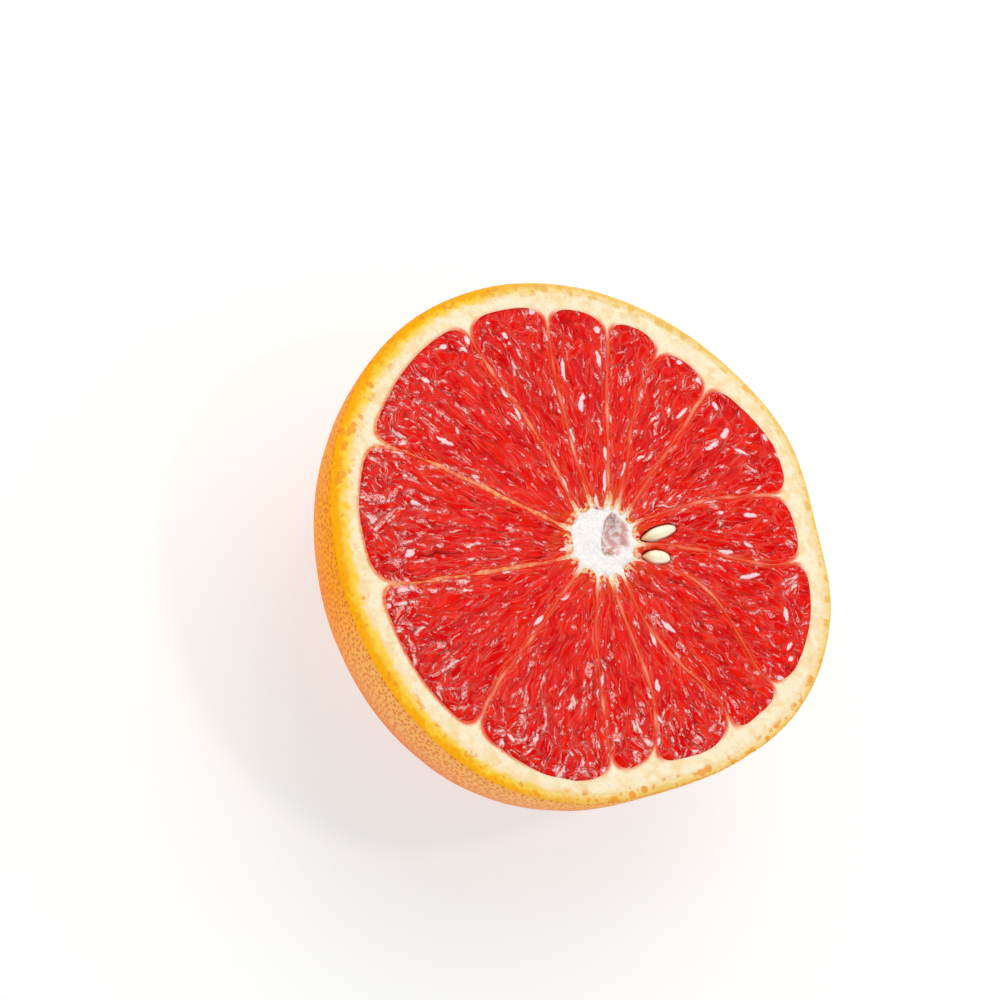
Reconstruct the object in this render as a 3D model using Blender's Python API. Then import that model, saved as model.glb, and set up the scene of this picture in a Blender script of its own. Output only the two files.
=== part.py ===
"""Half a red grapefruit, cut across its middle and laid on its rind, cut face up.

The origin is the middle of the flat spot that the half rests on, and +Z points up
through the cut face. Plan positions are seen from above. Lengths are in metres.
"""

import math
import random

import bmesh
import bpy
import numpy as np

MM = 0.001
TOUCH = 0.01 * MM

# The half as a whole
CUT_HEIGHT = 49.2 * MM
FRUIT_DEPTH = 50.0 * MM
MEAN_RADIUS = 54.0 * MM
# Radius of the cut face every 20 degrees, from -180 degrees round to 160
OUTLINE_RADII = np.array(
    (55.0, 54.4, 53.5, 52.7, 53.1, 54.3, 55.1, 54.2, 52.7,
     54.3, 56.5, 56.2, 53.5, 54.3, 53.2, 53.1, 53.8, 54.6)
) * MM
ROUND_SIDES = 60
DOME_STEPS = 10

# Rind, pith and the gap that keeps neighbouring pieces apart
RIND_THICKNESS = 2.0 * MM
RIM_CHAMFER = 0.6 * MM
GAP = 0.3 * MM
FLOOR_GAP = 0.5 * MM
POCKET_LID = 4.0 * MM
# Angle in degrees and distance in millimetres from the outside of the rind to the pulp
PEEL_THICKNESS = (
    (-176, 6.2), (-158, 7.0), (-131, 6.3), (-107, 7.9), (-88, 7.4), (-72, 7.4), (-62, 7.6),
    (-50, 5.4), (-42, 4.9), (-27, 6.1), (-9, 4.9), (10, 5.6), (36, 4.7), (61, 5.2),
    (80, 4.2), (96, 5.4), (109, 6.0), (123, 4.9), (139, 5.3), (159, 5.4),
)

# Core, and the walls that run out from it: each wall's angle in degrees at four
# distances from the core's middle, from the core to the rim
CORE_X = 3.0 * MM
CORE_Y = 4.1 * MM
WALL_THICKNESS = 0.8 * MM
WALL_DISTANCES = (8, 18, 30, 46)
WALL_ANGLES = (
    (-145.0, -147.0, -148.3, -148.0),
    (-101.0, -107.5, -110.8, -113.0),
    (-79.5, -76.5, -76.2, -75.0),
    (-49.0, -45.8, -42.4, -38.7),
    (-27.0, -23.5, -22.1, -28.3),
    (-8.5, -10.6, -4.6, -4.0),
    (27.0, 34.4, 24.5, 15.4),
    (52.9, 52.3, 49.0, 53.2),
    (81.0, 78.5, 74.0, 68.0),
    (101.0, 104.0, 104.9, 107.0),
    (116.0, 122.0, 125.0, 120.5),
    (130.0, 135.3, 137.0, 137.5),
    (156.0, 157.5, 156.6, 153.9),
    (182.0, 175.0, 174.2, 175.6),
)

# Pulp segments
TIP_DISTANCE = 6.6 * MM
RIM_BLEND = 5.5 * MM
TIP_BLEND = 2.0 * MM
SIDE_BLEND = 0.6 * MM
PULP_DEPTH = 39.0 * MM
BOWL_MARGIN = 0.6 * MM
LEAST_DEPTH = 3.0 * MM
GRID_ROWS = 16
END_CROWDING = 0.07
SAC_WIDTH = 5.6 * MM
SAC_ROWS = 4
SAC_PEAK = 0.5 * MM
SAC_VALLEY = 0.9 * MM
EDGE_DROP = 0.9 * MM

# Rays from a segment's middle that find its outline, and where its width is taken
RAY_ORIGIN = 27.0 * MM
RAY_COUNT = 1440
RAY_LENGTH = 45.0 * MM
RAY_STEPS = 900
WIDTH_DISTANCE = 38.0 * MM

# Seeds: plan position, length, width, height and heading
SEEDS = {
    "seed_1": (8.6 * MM, 15.8 * MM, 8.4 * MM, 2.9 * MM, 2.8 * MM, math.radians(73)),
    "seed_2": (12.1 * MM, 12.0 * MM, 6.2 * MM, 3.2 * MM, 3.0 * MM, math.radians(52)),
}
SEED_SINK = 0.9 * MM
SEED_ROOM = 1.0 * MM
SEED_TAPER = 0.45
SEED_SIDES = 14
SEED_RINGS = 9

# Hollow in the top of the core, where its white threads have pulled apart
HOLLOW = (2.9 * MM, 5.9 * MM, 9.0 * MM, 3.0 * MM, 3.6 * MM, math.radians(-50))

COLORS = {
    "rind": (0.86, 0.27, 0.02, 1.0),
    "pith": (0.93, 0.74, 0.50, 1.0),
    "segment": (0.76, 0.03, 0.03, 1.0),
    "seed": (0.92, 0.86, 0.66, 1.0),
}
ROUGHNESS = {"rind": 0.42, "pith": 0.65, "segment": 0.18, "seed": 0.35}


def clear_scene():
    """Remove every object that the scene starts with."""
    for existing in list(bpy.data.objects):
        bpy.data.objects.remove(existing, do_unlink=True)


def make_collection(name):
    collection = bpy.data.collections.new(name)
    bpy.context.scene.collection.children.link(collection)
    return collection


def make_material(name):
    """Plain Principled material in the colour of one kind of piece."""
    material = bpy.data.materials.new(name)
    material.use_nodes = True
    shader = material.node_tree.nodes["Principled BSDF"]
    shader.inputs["Base Color"].default_value = COLORS[name]
    shader.inputs["Roughness"].default_value = ROUGHNESS[name]
    shader.inputs["Metallic"].default_value = 0.0
    return material


def add_object(name, mesh_builder, collection, material=None):
    """Turn a bmesh into a named object, with its faces pointing out."""
    bmesh.ops.recalc_face_normals(mesh_builder, faces=mesh_builder.faces[:])
    mesh = bpy.data.meshes.new(name)
    mesh_builder.to_mesh(mesh)
    mesh_builder.free()
    obj = bpy.data.objects.new(name, mesh)
    collection.objects.link(obj)
    if material:
        mesh.materials.append(material)
    return obj


def shade_round(obj, angle=35):
    obj.data.shade_smooth()
    obj.data.set_sharp_from_angle(angle=math.radians(angle))


def hide_cutter(obj):
    obj.hide_render = True
    obj.display_type = "WIRE"


def cut_with(obj, cutters):
    """Cut a collection's bodies out of an object."""
    modifier = obj.modifiers.new("cut", "BOOLEAN")
    modifier.operation = "DIFFERENCE"
    modifier.solver = "EXACT"
    modifier.operand_type = "COLLECTION"
    modifier.collection = cutters


def smooth_min(first, second, blend):
    """The smaller of two distances, rounded where they are nearly equal."""
    near = np.clip(blend - np.abs(first - second), 0.0, None) / blend
    return np.minimum(first, second) - 0.25 * blend * near * near


def outline_radius(angle):
    """Radius of the cut face at an angle: a closed Catmull-Rom curve."""
    count = len(OUTLINE_RADII)
    position = (np.asarray(angle) / math.tau + 0.5) * count
    index = np.floor(position).astype(int)
    step = position - index
    before, start, end, after = (OUTLINE_RADII[(index + shift) % count] for shift in (-1, 0, 1, 2))
    cubic = 3.0 * (start - end) + after - before
    square = 2.0 * before - 5.0 * start + 4.0 * end - after
    return start + 0.5 * step * (end - before + step * (square + step * cubic))


def pulp_radius(angle):
    """Radius at which the pulp ends and the peel begins."""
    degrees, thickness = zip(*PEEL_THICKNESS)
    peel = np.interp(np.degrees(angle), degrees, thickness, period=360.0) * MM
    return outline_radius(angle) - peel


def outline_centre():
    """Middle of the outline's bounding box, which the origin is set under."""
    angles = np.linspace(0.0, math.tau, ROUND_SIDES, endpoint=False)
    radii = outline_radius(angles)
    xs = radii * np.cos(angles)
    ys = radii * np.sin(angles)
    return (xs.max() + xs.min()) / 2.0, (ys.max() + ys.min()) / 2.0


def wall_angle(index, distance):
    """Angle of a wall about the core, on a smooth curve through its four points."""
    turns, wall = divmod(index, len(WALL_ANGLES))
    curve = np.polyfit(WALL_DISTANCES, WALL_ANGLES[wall], 3)
    return np.radians(np.polyval(curve, np.asarray(distance) / MM) + 360.0 * turns)


def inside_distance(index, xs, ys):
    """Depth of plan points inside one segment's outline: zero on it, negative outside."""
    from_core_x = xs - CORE_X
    from_core_y = ys - CORE_Y
    distance = np.hypot(from_core_x, from_core_y)
    angle = np.arctan2(from_core_y, from_core_x)
    half_wall = WALL_THICKNESS / 2.0 + GAP
    right = distance * np.sin(angle - wall_angle(index, distance)) - half_wall
    left = distance * np.sin(wall_angle(index + 1, distance) - angle) - half_wall
    rim = pulp_radius(np.arctan2(ys, xs)) - np.hypot(xs, ys)
    inside = smooth_min(smooth_min(right, left, SIDE_BLEND), rim, RIM_BLEND)
    return smooth_min(inside, distance - TIP_DISTANCE, TIP_BLEND)


def core_point(distance, angle):
    return CORE_X + distance * np.cos(angle), CORE_Y + distance * np.sin(angle)


def segment_outline(index):
    """Closed outline of a segment, found along rays from its middle, and its corners."""
    middle_angle = (wall_angle(index, RAY_ORIGIN) + wall_angle(index + 1, RAY_ORIGIN)) / 2.0
    middle_x, middle_y = core_point(RAY_ORIGIN, middle_angle)
    headings = np.linspace(0.0, math.tau, RAY_COUNT, endpoint=False)[:, None]
    reach = np.linspace(0.0, RAY_LENGTH, RAY_STEPS + 1)[None, :]
    depth = inside_distance(
        index, middle_x + reach * np.cos(headings), middle_y + reach * np.sin(headings)
    )
    outside = np.argmax(depth < 0.0, axis=1)
    rows = np.arange(len(headings))
    last_in = depth[rows, outside - 1]
    first_out = depth[rows, outside]
    crossing = reach[0, outside - 1] + reach[0, 1] * last_in / (last_in - first_out)
    points = np.column_stack((
        middle_x + crossing * np.cos(headings[:, 0]),
        middle_y + crossing * np.sin(headings[:, 0]),
    ))
    targets = (
        core_point(TIP_DISTANCE, wall_angle(index, TIP_DISTANCE)),
        wall_end(index),
        wall_end(index + 1),
        core_point(TIP_DISTANCE, wall_angle(index + 1, TIP_DISTANCE)),
    )
    corners = [int(np.argmin(np.hypot(*(points - target).T))) for target in targets]
    return points, corners


def wall_end(wall):
    """Plan point where a wall meets the rim of the pulp."""
    distances = np.linspace(RAY_ORIGIN, MEAN_RADIUS, RAY_STEPS)
    xs, ys = core_point(distances, wall_angle(wall, distances))
    beyond = np.hypot(xs, ys) > pulp_radius(np.arctan2(ys, xs))
    first = int(np.argmax(beyond))
    return xs[first], ys[first]


def side_points(points, start, stop, count):
    """Points along part of a closed outline, both ends included, closer at its ends."""
    span = (stop - start) % len(points)
    path = points[(start + np.arange(span + 1)) % len(points)]
    lengths = np.concatenate(([0.0], np.cumsum(np.hypot(*np.diff(path, axis=0).T))))
    even = np.linspace(0.0, 1.0, count + 1)
    places = lengths[-1] * (even - END_CROWDING * np.sin(math.tau * even))
    return np.column_stack([np.interp(places, lengths, path[:, axis]) for axis in (0, 1)])


def segment_grid(index, columns):
    """Coons patch over a segment's outline: rows run from its tip to its rim."""
    points, (tip_right, rim_right, rim_left, tip_left) = segment_outline(index)
    right = side_points(points, tip_right, rim_right, GRID_ROWS)
    rim = side_points(points, rim_right, rim_left, columns)
    left = side_points(points, rim_left, tip_left, GRID_ROWS)[::-1]
    tip = side_points(points, tip_left, tip_right, columns)[::-1]
    across = np.linspace(0.0, 1.0, columns + 1)[None, :, None]
    along = np.linspace(0.0, 1.0, GRID_ROWS + 1)[:, None, None]
    between_sides = (1.0 - across) * right[:, None] + across * left[:, None]
    between_ends = (1.0 - along) * tip[None, :] + along * rim[None, :]
    near = (1.0 - across) * tip[0] + across * tip[-1]
    far = (1.0 - across) * rim[0] + across * rim[-1]
    return between_sides + between_ends - (1.0 - along) * near - along * far


def grow_outline(plan, grow):
    """Move the outline of a segment's grid outward by an even distance."""
    ring = [(0, column) for column in range(plan.shape[1] - 1)]
    ring += [(row, plan.shape[1] - 1) for row in range(plan.shape[0] - 1)]
    ring += [(plan.shape[0] - 1, column) for column in range(plan.shape[1] - 1, 0, -1)]
    ring += [(row, 0) for row in range(plan.shape[0] - 1, 0, -1)]
    rows, columns = np.array(ring).T
    loop = plan[rows, columns]
    edges = np.roll(loop, -1, axis=0) - loop
    normals = np.column_stack((edges[:, 1], -edges[:, 0])) / np.hypot(*edges.T)[:, None]
    centre = loop.mean(axis=0)
    if np.sum(normals * (loop - centre)) < 0.0:
        normals = -normals
    joined = normals + np.roll(normals, 1, axis=0)
    mitre = 2.0 * joined / np.sum(joined * joined, axis=1)[:, None]
    grown = plan.copy()
    grown[rows, columns] = loop + grow * mitre
    return grown


def segment_columns(index):
    """Even number of columns that gives each juice sac about its width."""
    spread = wall_angle(index + 1, WIDTH_DISTANCE) - wall_angle(index, WIDTH_DISTANCE)
    width = WIDTH_DISTANCE * spread
    return 2 * max(2, round(width / SAC_WIDTH))


def pulp_depth(x, y):
    """Depth of the pulp below the cut face: the bowl that the pith leaves for it."""
    reach = math.hypot(x, y) / (float(pulp_radius(math.atan2(y, x))) + BOWL_MARGIN)
    return max(LEAST_DEPTH, PULP_DEPTH * math.sqrt(max(0.0, 1.0 - reach * reach)))


def sac_height(row, column, columns, draw):
    """Relief of the cut pulp: plump sacs in staggered rows, dipping at the outline."""
    if row in (0, GRID_ROWS) or column in (0, columns):
        return -EDGE_DROP
    ridge = math.cos(math.pi * (column + row // SAC_ROWS))
    size = draw.uniform(0.6, 1.0)
    return size * (SAC_PEAK if ridge > 0.0 else -SAC_VALLEY)


def wedge_mesh(index, grow=0.0, lid=None):
    """A segment's body, or with a lid height the cutter for its pocket."""
    columns = segment_columns(index)
    plan = segment_grid(index, columns)
    outline = grow_outline(plan, grow)
    draw = random.Random(index)
    builder = bmesh.new()
    bmesh.ops.create_grid(builder, x_segments=columns, y_segments=GRID_ROWS, size=1.0)
    place = builder.verts.layers.int.new("place")
    for vertex in sorted(builder.verts, key=lambda v: (round(v.co.y, 4), round(v.co.x, 4))):
        column = round((vertex.co.x + 1.0) * columns / 2.0)
        row = round((vertex.co.y + 1.0) * GRID_ROWS / 2.0)
        vertex[place] = row * (columns + 1) + column
        height = sac_height(row, column, columns, draw) if lid is None else lid
        vertex.co = (*outline[row, column], CUT_HEIGHT + height)
    extruded = bmesh.ops.extrude_face_region(builder, geom=builder.faces[:])["geom"]
    floor = {item for item in extruded if isinstance(item, bmesh.types.BMVert)}
    for vertex in floor:
        depth = pulp_depth(*plan[divmod(vertex[place], columns + 1)])
        vertex.co.z = CUT_HEIGHT - depth - FLOOR_GAP * grow / GAP
    simplify_floor(builder, floor, place, columns)
    if lid is not None:
        join_lid(builder, floor)
    bmesh.ops.triangulate(
        builder, faces=[face for face in builder.faces if len(face.verts) == 4], quad_method="FIXED"
    )
    return builder


def simplify_floor(builder, floor, place, columns):
    """Widen the cells of a segment's hidden floor, leaving only its middle column inside."""
    lengthwise = []
    for edge in builder.edges:
        first, second = sorted(vertex[place] for vertex in edge.verts)
        inner = first % (columns + 1) not in (0, columns // 2, columns)
        if inner and second - first == columns + 1 and set(edge.verts) <= floor:
            lengthwise.append(edge)
    bmesh.ops.dissolve_edges(builder, edges=lengthwise, use_verts=True)
    kept = {vertex[place]: vertex for vertex in builder.verts if vertex in floor}
    for end, inward in ((0, 1), (GRID_ROWS, GRID_ROWS - 1)):
        for column in range(1, columns):
            if column == columns // 2:
                continue
            nearest = columns // 2 * round(2.0 * column / columns)
            pair = [kept[row * (columns + 1) + place_in_row]
                    for row, place_in_row in ((end, column), (inward, nearest))]
            bmesh.ops.connect_verts(builder, verts=pair)


def join_lid(builder, floor):
    """Join the flat top of a pocket's cutter into one face."""
    top = {face for face in builder.faces if not floor.intersection(face.verts)}
    inner = [edge for edge in builder.edges if set(edge.link_faces) <= top]
    bmesh.ops.dissolve_edges(builder, edges=inner, use_verts=True)


def dome_profile(inset):
    """Side of the half from its rim down to the axis or flat spot, as radius and height."""
    radius = MEAN_RADIUS - inset
    depth = FRUIT_DEPTH - inset
    lowest = math.asin(min(1.0, CUT_HEIGHT / depth))
    angles = [lowest * step / DOME_STEPS for step in range(DOME_STEPS + 1)]
    return [(radius * math.cos(angle), CUT_HEIGHT - depth * math.sin(angle)) for angle in angles]


def turn_profile(profile):
    """Turn a closed profile about the axis, then shape it to the fruit's uneven outline."""
    builder = bmesh.new()
    verts = [builder.verts.new((radius, 0.0, height)) for radius, height in profile]
    edges = [builder.edges.new(pair) for pair in zip(verts, verts[1:] + verts[:1])
             if max(pair[0].co.x, pair[1].co.x) > TOUCH]
    bmesh.ops.spin(
        builder, geom=verts + edges, axis=(0.0, 0.0, 1.0), cent=(0.0, 0.0, 0.0),
        angle=math.tau, steps=ROUND_SIDES, use_merge=True, use_duplicate=False,
    )
    bmesh.ops.remove_doubles(builder, verts=builder.verts[:], dist=TOUCH)
    for vertex in builder.verts:
        reach = math.hypot(vertex.co.x, vertex.co.y) / MEAN_RADIUS
        uneven = float(outline_radius(math.atan2(vertex.co.y, vertex.co.x))) / MEAN_RADIUS - 1.0
        vertex.co.xy *= 1.0 + uneven * reach * reach
    return builder


def join_fan(builder, height):
    """Join the triangles round the axis at one height into one flat face."""
    centre = [vertex for vertex in builder.verts
              if vertex.co.xy.length < TOUCH and abs(vertex.co.z - height) < TOUCH]
    bmesh.ops.dissolve_verts(builder, verts=centre)


def make_rind(collection):
    """The orange skin: a bowl of even thickness with a flat spot under it."""
    rim = [(MEAN_RADIUS - RIM_CHAMFER, CUT_HEIGHT), (MEAN_RADIUS, CUT_HEIGHT - RIM_CHAMFER)]
    outside = dome_profile(0.0)[1:] + [(0.0, 0.0)]
    inside = dome_profile(RIND_THICKNESS)[::-1]
    builder = turn_profile(rim + outside + inside)
    join_fan(builder, 0.0)
    obj = add_object("rind", builder, collection, make_material("rind"))
    shade_round(obj)


def make_pith(collection, pockets):
    """The pale body inside the rind, with its walls and core left between the pockets."""
    builder = turn_profile(dome_profile(RIND_THICKNESS + GAP) + [(0.0, CUT_HEIGHT)])
    join_fan(builder, CUT_HEIGHT)
    obj = add_object("pith", builder, collection, make_material("pith"))
    cut_with(obj, pockets)


def seed_mesh(x, y, length, width, height, heading, grow=0.0, open_top=False):
    """A seed, blunt at one end and drawn out at the other, lying in the cut face."""
    builder = bmesh.new()
    bmesh.ops.create_uvsphere(builder, u_segments=SEED_SIDES, v_segments=SEED_RINGS, radius=1.0)
    for vertex in builder.verts:
        taper = 1.0 - SEED_TAPER * max(0.0, -vertex.co.x) ** 2
        along = vertex.co.x * (length / 2.0 + grow)
        across = vertex.co.y * (width / 2.0 * taper + grow)
        up = vertex.co.z * (height / 2.0 * taper + min(grow, GAP))
        if open_top and vertex.co.z > TOUCH:
            up = POCKET_LID + vertex.co.z * MM
        vertex.co = (
            x + along * math.cos(heading) - across * math.sin(heading),
            y + along * math.sin(heading) + across * math.cos(heading),
            CUT_HEIGHT - SEED_SINK + up,
        )
    return builder


def make_segments(collection, pockets, seed_pockets):
    """The pulp, one body for each cell, and the cutters that clear the pith for them."""
    material = make_material("segment")
    for index in range(len(WALL_ANGLES)):
        number = f"{index + 1:02d}"
        cutter = add_object(f"pocket_{number}", wedge_mesh(index, GAP, POCKET_LID), pockets)
        hide_cutter(cutter)
        segment = add_object(f"segment_{number}", wedge_mesh(index), collection, material)
        cut_with(segment, seed_pockets)


def make_seeds(collection, pockets, seed_pockets):
    """The seeds near the core, and a pocket open to the cut face round each."""
    material = make_material("seed")
    for name, size in SEEDS.items():
        seed = add_object(name, seed_mesh(*size), collection, material)
        shade_round(seed, 60)
        for label, grow, cutters in (("notch", GAP, pockets), ("pocket", SEED_ROOM, seed_pockets)):
            cutter = add_object(f"{name}_{label}", seed_mesh(*size, grow=grow, open_top=True), cutters)
            hide_cutter(cutter)


def centre_parts(*collections):
    """Move every body so that the outline's bounding box is centred over the origin."""
    offset_x, offset_y = outline_centre()
    for collection in collections:
        for obj in collection.objects:
            for vertex in obj.data.vertices:
                vertex.co.x -= offset_x
                vertex.co.y -= offset_y


def main():
    clear_scene()
    fruit = make_collection("grapefruit_half")
    pockets = make_collection("pith_cutters")
    seed_pockets = make_collection("seed_cutters")
    make_seeds(fruit, pockets, seed_pockets)
    hollow = add_object("core_hollow", seed_mesh(*HOLLOW, open_top=True), pockets)
    hide_cutter(hollow)
    make_rind(fruit)
    make_segments(fruit, pockets, seed_pockets)
    make_pith(fruit, pockets)
    centre_parts(fruit, pockets, seed_pockets)


main()
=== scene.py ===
"""The finished looks of the grapefruit half: fine meshes and materials, light and camera.

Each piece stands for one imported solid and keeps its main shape. Lengths are in metres.
"""

import functools
import math

import bpy
import numpy as np
from mathutils import Matrix, Vector
from mathutils.geometry import delaunay_2d_cdt


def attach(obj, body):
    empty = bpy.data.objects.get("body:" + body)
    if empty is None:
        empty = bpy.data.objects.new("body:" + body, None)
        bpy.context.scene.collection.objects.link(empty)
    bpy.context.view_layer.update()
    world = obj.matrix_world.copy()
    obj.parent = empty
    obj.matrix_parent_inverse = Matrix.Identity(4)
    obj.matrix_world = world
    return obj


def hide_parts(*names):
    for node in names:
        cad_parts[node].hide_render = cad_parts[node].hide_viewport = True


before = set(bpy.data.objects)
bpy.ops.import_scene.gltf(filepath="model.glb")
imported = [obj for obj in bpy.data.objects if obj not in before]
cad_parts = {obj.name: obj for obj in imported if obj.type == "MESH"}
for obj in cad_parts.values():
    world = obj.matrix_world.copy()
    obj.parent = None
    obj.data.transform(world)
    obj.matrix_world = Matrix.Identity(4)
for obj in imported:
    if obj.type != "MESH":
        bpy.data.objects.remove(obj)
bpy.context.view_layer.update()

MM = 0.001

# Shape values shared with the part's source
CUT_HEIGHT = 49.2 * MM
FRUIT_DEPTH = 50.0 * MM
MEAN_RADIUS = 54.0 * MM
OUTLINE_RADII = np.array(
    (55.0, 54.4, 53.5, 52.7, 53.1, 54.3, 55.1, 54.2, 52.7,
     54.3, 56.5, 56.2, 53.5, 54.3, 53.2, 53.1, 53.8, 54.6)
) * MM
ROUND_SIDES = 60
RIND_THICKNESS = 2.0 * MM
RIM_CHAMFER = 0.6 * MM
PEEL_THICKNESS = (
    (-176, 6.2), (-158, 7.0), (-131, 6.3), (-107, 7.9), (-88, 7.4), (-72, 7.4), (-62, 7.6),
    (-50, 5.4), (-42, 4.9), (-27, 6.1), (-9, 4.9), (10, 5.6), (36, 4.7), (61, 5.2),
    (80, 4.2), (96, 5.4), (109, 6.0), (123, 4.9), (139, 5.3), (159, 5.4),
)
CORE_X = 3.0 * MM
CORE_Y = 4.1 * MM
WALL_DISTANCES = (8, 18, 30, 46)
WALL_ANGLES = (
    (-145.0, -147.0, -148.3, -148.0),
    (-101.0, -107.5, -110.8, -113.0),
    (-79.5, -76.5, -76.2, -75.0),
    (-49.0, -45.8, -42.4, -38.7),
    (-27.0, -23.5, -22.1, -28.3),
    (-8.5, -10.6, -4.6, -4.0),
    (27.0, 34.4, 24.5, 15.4),
    (52.9, 52.3, 49.0, 53.2),
    (81.0, 78.5, 74.0, 68.0),
    (101.0, 104.0, 104.9, 107.0),
    (116.0, 122.0, 125.0, 120.5),
    (130.0, 135.3, 137.0, 137.5),
    (156.0, 157.5, 156.6, 153.9),
    (182.0, 175.0, 174.2, 175.6),
)
WALL_COUNT = len(WALL_ANGLES)
TIP_DISTANCE = 6.6 * MM
RIM_BLEND = 5.5 * MM
TIP_BLEND = 2.0 * MM
SIDE_BLEND = 0.6 * MM
PULP_DEPTH = 39.0 * MM
BOWL_MARGIN = 0.6 * MM
LEAST_DEPTH = 3.0 * MM
END_CROWDING = 0.07
RAY_ORIGIN = 27.0 * MM
RAY_COUNT = 1440
RAY_LENGTH = 45.0 * MM
RAY_STEPS = 900
WIDTH_DISTANCE = 38.0 * MM
# Plan position, length, width, height and heading of each seed
SEEDS = {
    "seed_1": (8.6 * MM, 15.8 * MM, 8.4 * MM, 2.9 * MM, 2.8 * MM, math.radians(73)),
    "seed_2": (12.1 * MM, 12.0 * MM, 6.2 * MM, 3.2 * MM, 3.0 * MM, math.radians(52)),
}
SEED_SINK = 0.9 * MM
SEED_TAPER = 0.45
SEED_POCKET = 1.7 * MM
# The same six values for the torn hollow in the core, and how deep it is in the scene's mesh
HOLLOW = (2.9 * MM, 5.9 * MM, 9.0 * MM, 3.0 * MM, 3.6 * MM, math.radians(-50))
HOLLOW_DEPTH = 1.8 * MM

# Fineness of the meshes: cells of the hidden faces are COARSE times as wide as the cut face's
COARSE = 8
PULP_STEP = 0.18 * MM
POCKET_STEP = 0.27 * MM
PITH_STEP = 0.36 * MM
RIDGE_STEP = 0.3 * MM
RIND_SIDES = 720
RIND_RINGS = 112
FLAT_SPOT_RINGS = (0.9, 0.8, 0.68, 0.55, 0.42, 0.3, 0.2, 0.11, 0.05)
SEED_SIDES = 64
SEED_ROWS = 40
HIDDEN_ROWS = 8
SHARP_ANGLE = math.radians(60.0)

# Half the visible thickness of a membrane, and how far the pulp laps into it
HALF_MEMBRANE = 0.28 * MM
LAP = 0.04 * MM
# Half width that each membrane has where it leaves the core, and how far out it narrows
ARM_WIDTHS = np.array((0.9, 0.7, 0.9, 0.7, 1.5, 0.6, 0.5, 1.0, 0.6, 0.8, 1.2, 1.4, 0.8, 0.9)) * MM
ARM_REACH = 6.0 * MM
# Distance from the core's middle from which a membrane's middle line has points of its own
MEMBRANE_START = TIP_DISTANCE + 1.2 * MM
# How far the middle line of a membrane wanders
WALL_WOBBLE = 0.16 * MM
# How plainly each membrane shows along its outer part
MEMBRANE_STRENGTH = (1.0, 0.75, 0.25, 0.25, 0.35, 0.4, 0.25, 0.45, 0.4, 0.5, 0.1, 0.5, 0.2, 0.6)
# How far the skin stays inside the solid's surface
ENVELOPE_INSET = 0.08 * MM
# Sides of the fruit where the golden band of the cut peel is widest, and where the rind is reddish
GOLDEN_SIDE = math.radians(-125.0)
REDDISH_SIDE = math.radians(-34.0)
# Side of the cut where the pulp has the most torn skins and painted highlights
FLECKED_SIDE = math.radians(-80.0)
# Side where the rind near the cut is painted paler, as a painted sheen
SHEEN_SIDE = math.radians(-72.0)
# Width of the golden band
LEAST_GOLDEN = 1.5 * MM
MOST_GOLDEN = 3.9 * MM
# Height that no point of the cut face may pass
HIGHEST = 49.78 * MM
# Width of the lumps of the rind, and width and depth of the scar in its flat spot
LUMP_SIZE = 11.0 * MM
SCAR_WIDTH = 1.6 * MM
SCAR_DEPTH = 0.5 * MM
# Spacing of the shaped dimples of the rind, and of the oil glands that its material paints
DIMPLE_SIZE = 1.7 * MM
GLAND_SPACING = 1.0 * MM
# How fast the rind's flat map grows from the middle of its underside: 1 would keep all angles
MAP_GROWTH = 0.8


# Repeatable noise

# Multipliers that mix the bits of a hash
FIRST_MIXER = np.uint64(0x9E3779B97F4A7C15)
SECOND_MIXER = np.uint64(0xBF58476D1CE4E5B9)


def hashed(seed, *corners):
    """Repeatable random number from 0 to 1 for each set of whole-number coordinates."""
    mixed = np.full(np.shape(corners[0]), seed * 7919 + 12345, dtype=np.uint64)
    for corner in corners:
        mixed ^= np.asarray(corner).astype(np.int64).view(np.uint64)
        mixed *= FIRST_MIXER
        mixed ^= mixed >> np.uint64(29)
        mixed *= SECOND_MIXER
        mixed ^= mixed >> np.uint64(32)
    return (mixed >> np.uint64(11)).astype(float) / float(1 << 53)


def noise(seed, *places):
    """Smooth noise from -1 to 1 at places given in lattice steps, in two or three axes."""
    corners = [np.floor(place).astype(np.int64) for place in places]
    shares = [place - corner for place, corner in zip(places, corners)]
    shares = [share * share * (3.0 - 2.0 * share) for share in shares]
    total = np.zeros(np.shape(places[0]))
    for code in range(1 << len(places)):
        steps = [code >> axis & 1 for axis in range(len(places))]
        weight = 1.0
        for share, step in zip(shares, steps):
            weight = weight * (share if step else 1.0 - share)
        total += weight * hashed(seed, *(corner + step for corner, step in zip(corners, steps)))
    return 2.0 * total - 1.0


def layered(seed, octaves, *places):
    """Noise of several sizes, each half as wide and half as strong as the last."""
    total = 0.0
    for octave in range(octaves):
        scale = 2.0 ** octave
        total = total + noise(seed + 31 * octave, *(place * scale for place in places)) / scale
    return total


def plan_noise(seed, size, xs, ys, octaves=1):
    """Layered noise over plan points, with its largest lumps a size in millimetres wide."""
    return layered(seed, octaves, xs / (size * MM), ys / (size * MM))


def full_turn(count):
    """Even angles all the way round."""
    return np.linspace(0.0, math.tau, count, endpoint=False)


def turned(xs, ys, cos, sin):
    """Offsets along and across a heading that is given by its cosine and sine."""
    return xs * cos + ys * sin, ys * cos - xs * sin


def ease(low, high, value):
    """Smooth step from 0 at low to 1 at high."""
    share = np.clip((value - low) / (high - low), 0.0, 1.0)
    return share * share * (3.0 - 2.0 * share)


# Plan of the cut face, as in the part's source

def smooth_min(first, second, blend):
    near = np.clip(blend - np.abs(first - second), 0.0, None) / blend
    return np.minimum(first, second) - 0.25 * blend * near * near


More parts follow.
